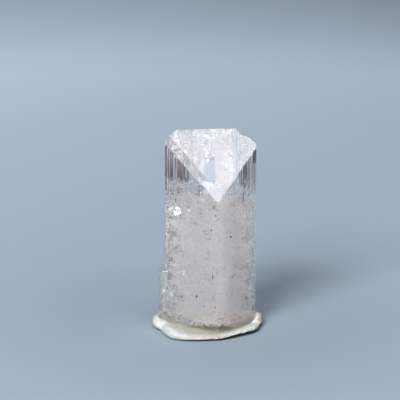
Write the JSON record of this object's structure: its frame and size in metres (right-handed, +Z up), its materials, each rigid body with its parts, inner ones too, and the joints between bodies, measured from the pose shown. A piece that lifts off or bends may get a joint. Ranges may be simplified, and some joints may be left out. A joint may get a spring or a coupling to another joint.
{
  "type": "danburite crystal specimen",
  "caption": "Upright clear danburite crystal with a wedge-shaped top, held in a pressed pad of white mounting putty.",
  "frame": {"origin": "middle of the whole part's box in plan, on the flat underside of the putty", "axes": "+Z up along the crystal's length; +X to the right along the crystal's ridge; the sharp front edge faces -Y"},
  "size_m": [0.0228, 0.0245, 0.0407],
  "materials": {
    "danburite": "clear with cloudy veils",
    "putty": "soft matte"
  },
  "bodies": {
    "root": {"danburite_crystal": "danburite", "mounting_putty": "putty"}
  },
  "joints": []
}
